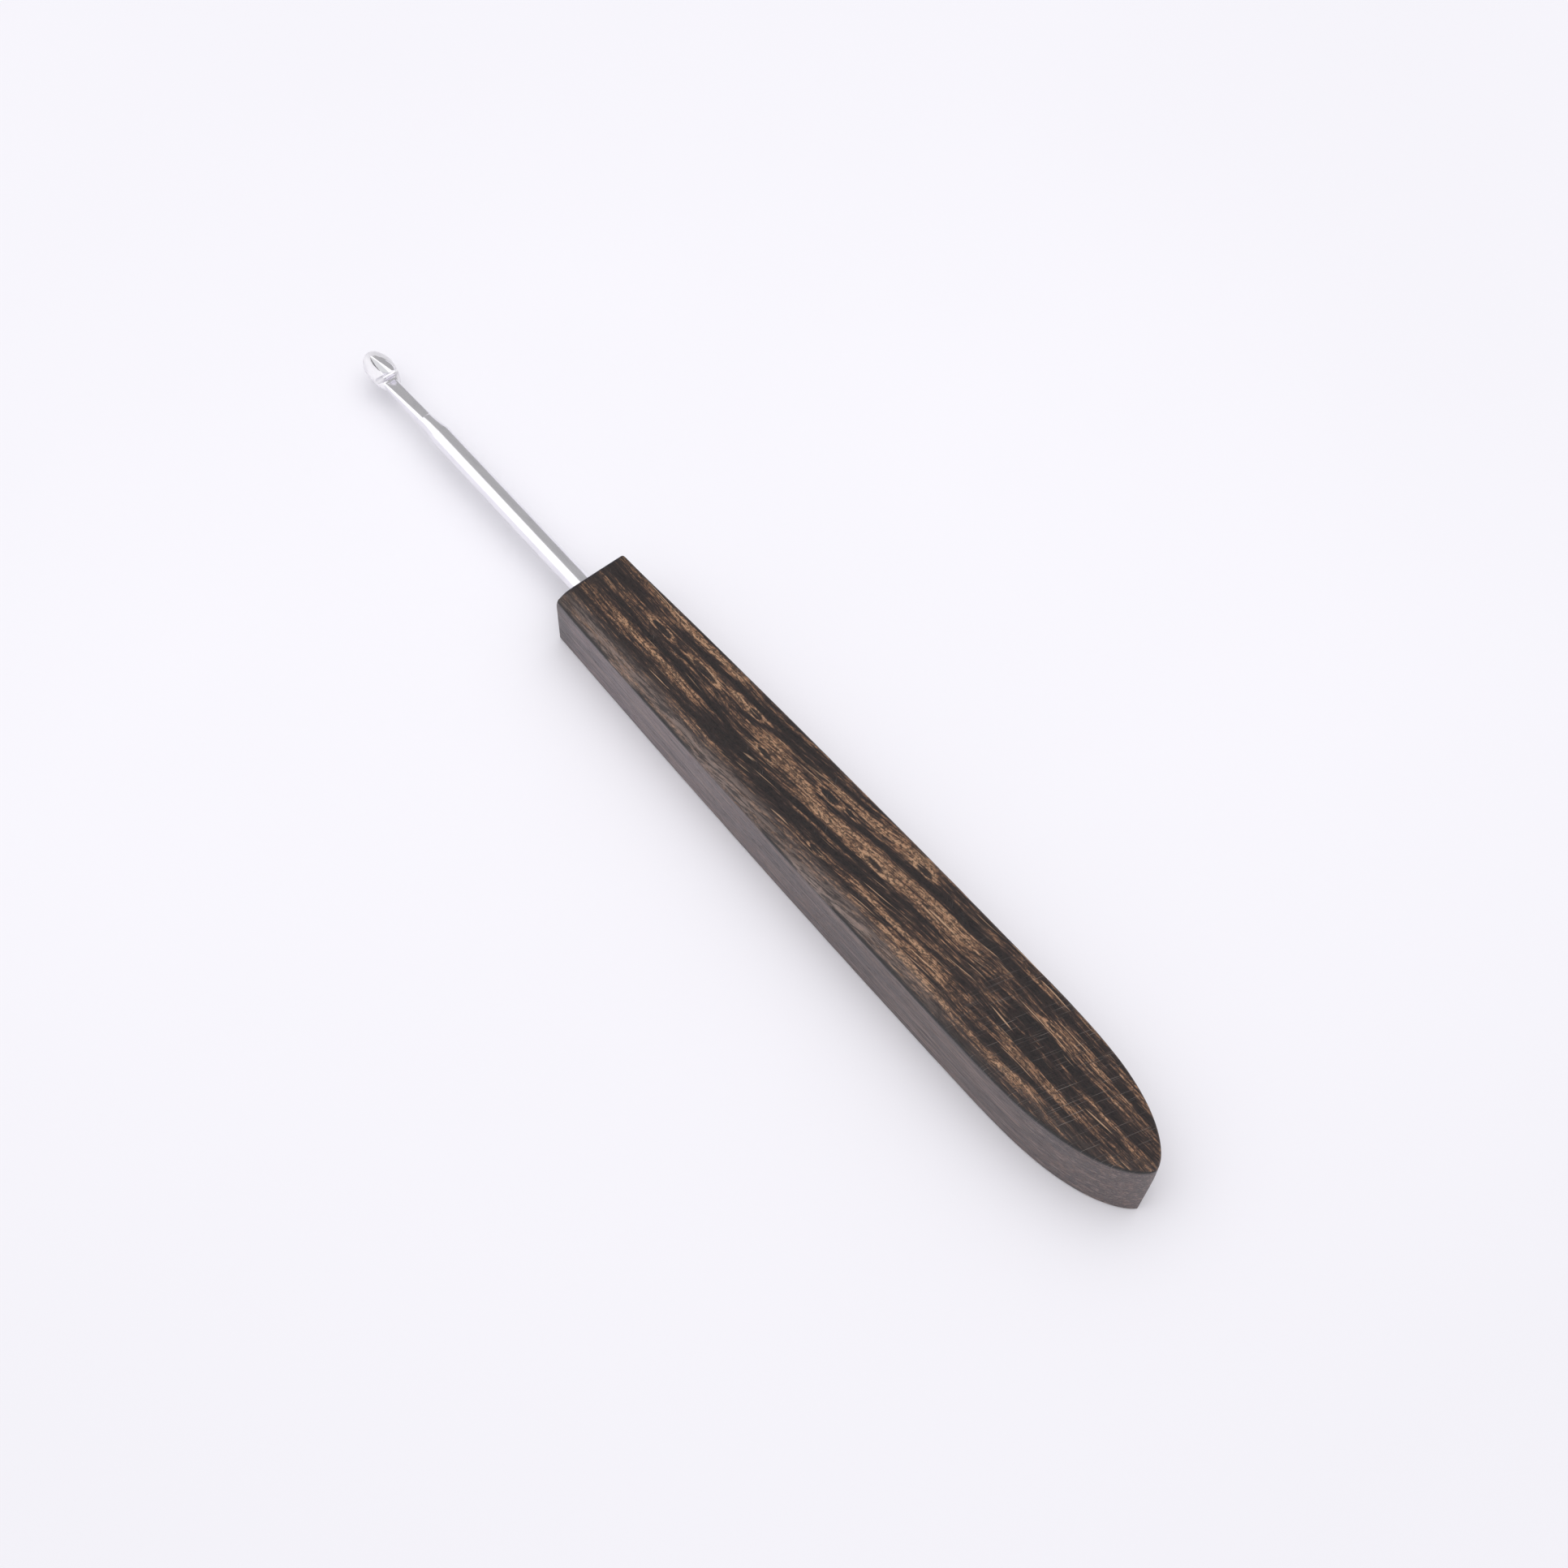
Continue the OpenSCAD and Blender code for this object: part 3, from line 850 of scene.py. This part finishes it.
    def side_sheen_and_marks(self, color):
        """Painted sheen on the sides: a slightly violet haze, as of the bright floor mirrored at
        a grazing angle, duller towards the butt; with broad and thin lengthwise grain marks.
        """
        aft = self.fade(self.behind, lo=8.0, hi=70.0)
        side_sheen = self.mix(aft, a=(0.232, 0.198, 0.222), b=(0.122, 0.097, 0.102))
        # painted sheen laid over the sides
        color = self.layer(color, self.side, amount=0.64, over=side_sheen)
        broad = self.noise(size=(13.0, 0.6, 0.42), detail=3.0, rough=0.65, shift=(3.0, 1.0, 2.0))
        thin = self.noise(size=(6.0, 0.2, 0.13), detail=2.0, rough=0.6, shift=(8.0, 4.0, 6.0))
        marks = (                               # noise, fade from, fade to, amount, colour
            (broad, 0.50, 0.66, 0.62, (0.058, 0.047, 0.054)),
            (broad, 0.48, 0.34, 0.60, (0.29, 0.215, 0.19)),
            (thin, 0.54, 0.72, 0.50, (0.045, 0.036, 0.040)),
            (thin, 0.44, 0.28, 0.40, (0.34, 0.26, 0.22)))
        for noise, lo, hi, amount, over in marks:
            mask = self.mul(self.side, self.fade(noise, lo, hi))
            color = self.layer(color, mask, amount, over)
        return color

    def painted_edge_sheen(self, color):
        """Painted sheen: a cool pale reflection painted along the top's +Y side, and a painted
        shadow line on its arris.
        """
        cloud = self.noise(size=(14, 1.0, 1.0), detail=2.0, rough=0.5, shift=(2, 2, 5))
        least = 0.46                            # painted sheen strength between the clouds
        cloud = self.weigh(self.fade(cloud, lo=0.35, hi=0.65), weight=0.36)
        painted_sheen = self.mul(self.attribute("painted_sheen"), self.add(least, cloud))
        streaks = self.noise(size=(3.4, 0.26, 0.26), detail=3.0, rough=0.80,
                             at=self.grain, shift=(4, 9, 2))
        # colour of the painted sheen, with grain streaks running through it
        sheen_tint = self.mix(self.fade(streaks, lo=0.46, hi=0.54),
                        a=(0.076, 0.063, 0.062), b=(0.265, 0.200, 0.178))
        color = self.mix(painted_sheen, color, sheen_tint)
        # the painted shadow line is broken up at first and whole towards the butt
        broken = self.noise(size=(9, 3, 3), detail=2.0, rough=0.5, shift=(1, 7, 5))
        whole = self.math("MAXIMUM", self.fade(broken, lo=0.42, hi=0.52),
                          self.fade(self.behind, lo=68.0, hi=76.0))
        line = self.mul(self.attribute("painted_arris_shadow"), whole)
        return self.layer(color, line, amount=0.97, over=(0.010, 0.008, 0.009))

    def front_end(self, color):
        """Darker front end, near-black front edge, and end grain on the face."""
        near = self.invert(self.fade(self.behind, lo=0.0, hi=6.0))
        color = self.layer(color, near, amount=0.50, over=(0.020, 0.013, 0.012))
        edge = self.invert(self.fade(self.behind, lo=0.10, hi=0.60))
        edge = self.mul(edge, self.invert(self.side))
        color = self.layer(color, edge, amount=0.85, over=(0.006, 0.006, 0.016))
        face = self.invert(self.fade(self.behind, lo=0.02, hi=0.14))
        dots = self.noise(size=(2.0, 0.28, 0.20), detail=2.0, rough=0.7, shift=(3, 3, 3))
        bands = self.noise(size=(9, 3.5, 0.9), detail=2.0, rough=0.5, shift=(6, 2, 1))
        ground = self.mix(self.fade(bands, lo=0.42, hi=0.62),
                          a=(0.050, 0.032, 0.026), b=(0.105, 0.066, 0.046))
        end_grain = self.mix(self.fade(dots, lo=0.56, hi=0.68), ground, (0.010, 0.007, 0.007))
        return self.mix(self.mul(face, self.side), color, end_grain)

    def scratches(self):
        """Two sets of fine slanting scratches on the top and bottom."""
        # set one: strongest towards the butt
        angle = math.radians(74)
        ca, sa = math.cos(angle), math.sin(angle)
        along = self.add(self.mul(self.x, ca), self.mul(self.y, sa))
        across = self.sub(self.mul(self.y, ca), self.mul(self.x, sa))
        lines = self.noise(size=(6.0, 0.09, 1.0), detail=1.0, rough=0.6,
                           at=self.join(along, across, 0.0), shift=(1.0, 2.0, 3.0))
        least = 0.10                            # strength at the front
        aft = self.weigh(self.fade(self.behind, lo=66, hi=86), weight=0.9)
        aft_set = self.mul(self.fade(lines, lo=0.64, hi=0.75), self.add(least, aft))
        # set two: in patches, fading out towards the butt; about 45 degrees the other way
        along_x, along_y, across_x, across_y = 0.70, -0.71, 0.71, 0.70
        along = self.add(self.mul(self.x, along_x), self.mul(self.y, along_y))
        across = self.add(self.mul(self.x, across_x), self.mul(self.y, across_y))
        lines = self.noise(size=(2.2, 0.075, 1.0), detail=1.0, rough=0.6,
                           at=self.join(along, across, 0.0), shift=(5.0, 1.0, 7.0))
        patches = self.noise(size=(9, 4, 4), detail=1.0, rough=0.5)
        fore_set = self.mul(self.fade(lines, lo=0.69, hi=0.79),
                            self.fade(patches, lo=0.46, hi=0.62),
                            self.invert(self.fade(self.behind, lo=60, hi=76)))
        return self.mul(self.math("MAXIMUM", aft_set, fore_set), self.invert(self.side))

    def build(self):
        color = self.front_end(self.painted_edge_sheen(self.side_sheen_and_marks(self.tissue())))
        scratches = self.scratches()
        color = self.layer(color, scratches, amount=0.50, over=(0.30, 0.26, 0.24))
        base_rough = 0.37
        uneven = self.swing(size=(5, 0.3, 0.3), detail=2.0, rough=0.6, at=self.grain)
        rough = self.add(base_rough, self.weigh(uneven, weight=0.30),
                         self.weigh(self.pores, weight=0.2))
        # relief: open pores and scratches sink, hard fibres rise
        raised = self.add(self.weigh(self.fibre, weight=0.9), self.weigh(self.hair, weight=0.9))
        height = self.add(self.weigh(self.pores, weight=-1.0), raised,
                          self.weigh(self.speckle, weight=-0.45))
        height = self.sub(height, self.weigh(scratches, weight=0.5))
        return self.finish(self.principled({
            "Base Color": color, "Roughness": rough, "Specular IOR Level": 0.47,
            "Normal": self.bump(height, distance=0.00003, strength=0.9)}))


# ---------------------------------------------------------------------------
# Metal, resin and paper
# ---------------------------------------------------------------------------
def metal_material():
    """Very fine lengthwise lines and faint cloudy patches."""
    N = Material("bright_aluminium")
    line = N.noise(size=(6.0, 0.05, 0.05), detail=3.0, rough=0.6)
    cloud = N.noise(size=(2.6, 0.9, 0.9), detail=3.0, rough=0.55)
    color = N.mix(N.fade(cloud, lo=0.3, hi=0.8), a=(0.872, 0.860, 0.895), b=(0.800, 0.788, 0.828))
    color = N.layer(color, N.fade(line, lo=0.55, hi=0.8), amount=0.25, over=(0.68, 0.69, 0.71))
    # painted dim reflection: darker colour on the tongue's +Y flank
    color = N.layer(color, N.attribute("painted_dim_reflection"), amount=0.85, over=(0.47, 0.475, 0.49))
    satin = N.attribute("satin")
    base_rough = 0.13
    rough = N.add(base_rough, N.weigh(cloud, weight=0.09),
                  N.weigh(N.fade(line, lo=0.5, hi=0.8), weight=0.08),
                  N.weigh(satin, weight=0.36))
    height = N.add(N.weigh(line, weight=0.5), N.weigh(cloud, weight=0.6))
    return N.finish(N.principled({
        "Base Color": color, "Roughness": rough,
        "Metallic": N.invert(N.weigh(satin, weight=0.50)),
        "Normal": N.bump(height, distance=0.000006, strength=0.6)}))


def resin_material():
    """Cloudy amber with small pale spots."""
    N = Material("cured_resin")
    cloud = N.noise(size=(1.4, 1.4, 1.4), detail=4.0, rough=0.6)
    spots = N.noise(size=(0.25, 0.25, 0.25), detail=1.0, rough=0.5)
    color = N.mix(N.fade(cloud, lo=0.35, hi=0.7), a=(0.60, 0.43, 0.20), b=(0.44, 0.28, 0.11))
    color = N.layer(color, N.fade(spots, lo=0.62, hi=0.72), amount=0.5, over=(0.75, 0.62, 0.38))
    base_rough = 0.22
    height = N.add(cloud, N.weigh(spots, weight=0.5))
    return N.finish(N.principled({
        "Base Color": color,
        "Roughness": N.add(base_rough, N.weigh(cloud, weight=0.25)),
        "Normal": N.bump(height, distance=0.00002, strength=0.6)}))


def floor_material():
    N = Material("studio_paper")
    x, y, _ = N.split(N.pos)
    fibre = N.noise(size=(1.2, 1.2, 1.2), detail=3.0, rough=0.6)
    patch = N.noise(size=(60, 60, 60), detail=2.0, rough=0.5)
    base = N.mix(N.fade(patch, lo=0.3, hi=0.7), a=(0.868, 0.859, 0.906), b=(0.860, 0.852, 0.898))
    base = N.layer(base, N.fade(fibre, lo=0.3, hi=0.8), amount=0.02, over=(0.82, 0.81, 0.86))
    # painted fall-off of the light: darker away from a centre at (18, -3), most of all towards
    # the camera
    dx, dy = N.sub(x, 18.0), N.add(y, 3.0)
    toward = N.add(N.weigh(dx, weight=-0.77), N.weigh(dy, weight=0.64))
    rightward = N.add(N.weigh(dx, weight=-0.63), N.weigh(dy, weight=-0.78))
    away = N.math("SQRT", N.add(N.math("POWER", dx, 2.0), N.math("POWER", dy, 2.0)))
    light_falloff = N.add(N.weigh(N.fade(toward, lo=-20.0, hi=110.0), weight=0.70),
                  N.weigh(N.fade(away, lo=65.0, hi=140.0), weight=0.30),
                  N.weigh(N.fade(rightward, lo=20.0, hi=100.0), weight=0.22))
    base = N.mix(light_falloff, base, (0.815, 0.808, 0.852))
    paper = N.principled({"Base Color": base, "Roughness": 0.95, "Specular IOR Level": 0.0})
    # see-through from below, and to bounced rays that start very close to it
    backfacing = N.new("ShaderNodeNewGeometry").outputs["Backfacing"]
    clear = N.new("ShaderNodeBsdfTransparent").outputs[0]
    ray = N.new("ShaderNodeLightPath").outputs
    near_limit = 0.0004                         # metres
    near = N.math("LESS_THAN", ray["Ray Length"], near_limit)
    bounce = N.math("MAXIMUM", ray["Is Diffuse Ray"], ray["Is Glossy Ray"])
    hidden = N.math("MAXIMUM", backfacing, N.mul(near, bounce))
    return N.finish(N.mix_shaders(hidden, paper, clear))


# ---------------------------------------------------------------------------
# Floor, light and camera
# ---------------------------------------------------------------------------
def build_floor():
    reach, z = 3000.0, -0.02
    floor = mesh_object("studio_floor", [(-reach, -reach, z), (reach, -reach, z),
                                         (reach, reach, z), (-reach, reach, z)],
                        [(0, 1, 2, 3)], smooth=False)
    floor.data.materials.append(floor_material())


def build_world():
    world = bpy.data.worlds.new("studio")
    scene.world = world
    world.use_nodes = True
    W = Nodes(world.node_tree)
    dx, dy, dz = W.split(W.new("ShaderNodeTexCoord").outputs["Generated"])
    # soft light: brightest overhead, rising with the cube of the height
    squared = W.mul(W.math("MAXIMUM", dz, 0.0), W.math("MAXIMUM", dz, 0.0))
    cubed = W.mul(squared, W.math("MAXIMUM", dz, 0.0))
    horizon_light = 0.33
    soft = W.add(horizon_light, W.weigh(cubed, weight=1.83))
    # what metal mirrors: bright on the +Y side and towards -X, grey on the -Y side
    grey = 0.47
    tilt = W.math("ARCTAN2", dy, dz)            # from the vertical towards +Y
    white = W.fade(tilt, lo=math.radians(3), hi=math.radians(13))
    sides = W.add(grey, W.weigh(white, weight=0.88))
    rear = W.fade(W.weigh(dx, weight=-1.0), lo=0.08, hi=0.36)
    mirror = W.add(W.mul(sides, W.invert(rear)), W.weigh(rear, weight=1.25))
    ray = W.new("ShaderNodeLightPath").outputs
    strength = W.filled("ShaderNodeMix", {0: ray["Is Glossy Ray"], 2: soft, 3: mirror},
                        data_type="FLOAT").outputs[0]
    lighting = W.filled("ShaderNodeBackground",
                        {"Strength": strength, "Color": (1.0, 0.995, 1.0, 1)}).outputs[0]
    backdrop = W.filled("ShaderNodeBackground",
                        {"Strength": 1.0, "Color": (0.90, 0.89, 0.94, 1)}).outputs[0]
    shader = W.mix_shaders(ray["Is Camera Ray"], lighting, backdrop)
    W.filled("ShaderNodeOutputWorld", {"Surface": shader})
    world.cycles.sampling_method = "NONE"


def build_softbox():
    """Square lamp overhead, aimed at the origin. Places in metres."""
    lamp = bpy.data.lights.new("softbox", "AREA")
    lamp.shape = "RECTANGLE"
    lamp.size, lamp.size_y = 0.9, 0.9
    lamp.energy = 0.6
    lamp.color = (1.0, 0.99, 1.0)
    softbox = bpy.data.objects.new("softbox", lamp)
    scene.collection.objects.link(softbox)
    softbox.location = (-0.22, 0.10, 1.0)
    aim = Vector((0, 0, 0)) - Vector(softbox.location)
    softbox.rotation_euler = aim.to_track_quat("-Z", "Y").to_euler()
    softbox.visible_glossy = False


def build_camera():
    lens = bpy.data.cameras.new("camera")
    lens.sensor_width = 36.0
    lens.lens = 63.35
    lens.clip_start = 0.01
    lens.clip_end = 20
    camera = bpy.data.objects.new("camera", lens)
    scene.collection.objects.link(camera)
    right = Vector((-0.62983, -0.7767, 0.00682))
    forward = Vector((0.39407, -0.3271, -0.8589)).normalized()
    right = (right - forward * right.dot(forward)).normalized()
    up = right.cross(forward).normalized()
    turn = Matrix((right, up, -forward)).transposed()
    place = Vector((FRONT - 176.521, 112.898, 305.354)) * MM
    camera.matrix_world = Matrix.Translation(place) @ turn.to_4x4()
    scene.camera = camera


# ---------------------------------------------------------------------------
# Assembly
# ---------------------------------------------------------------------------
handle = build_handle()
paint_handle(handle.data)
hook = build_hook()

wood, metal, resin = Wood().build(), metal_material(), resin_material()
handle.data.materials.append(wood)
hook.data.materials.append(metal)
for name, material in (("handle", wood), ("hook", metal), ("adhesive", resin)):
    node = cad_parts[name]
    node.data.materials.clear()
    node.data.materials.append(material)

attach(handle, "root")
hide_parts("handle")
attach(hook, "root")
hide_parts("hook")

build_floor()
build_world()
build_softbox()
build_camera()

scene.view_settings.view_transform = "Standard"
scene.view_settings.look = "None"
scene.view_settings.exposure = 0.0
scene.view_settings.gamma = 1.0
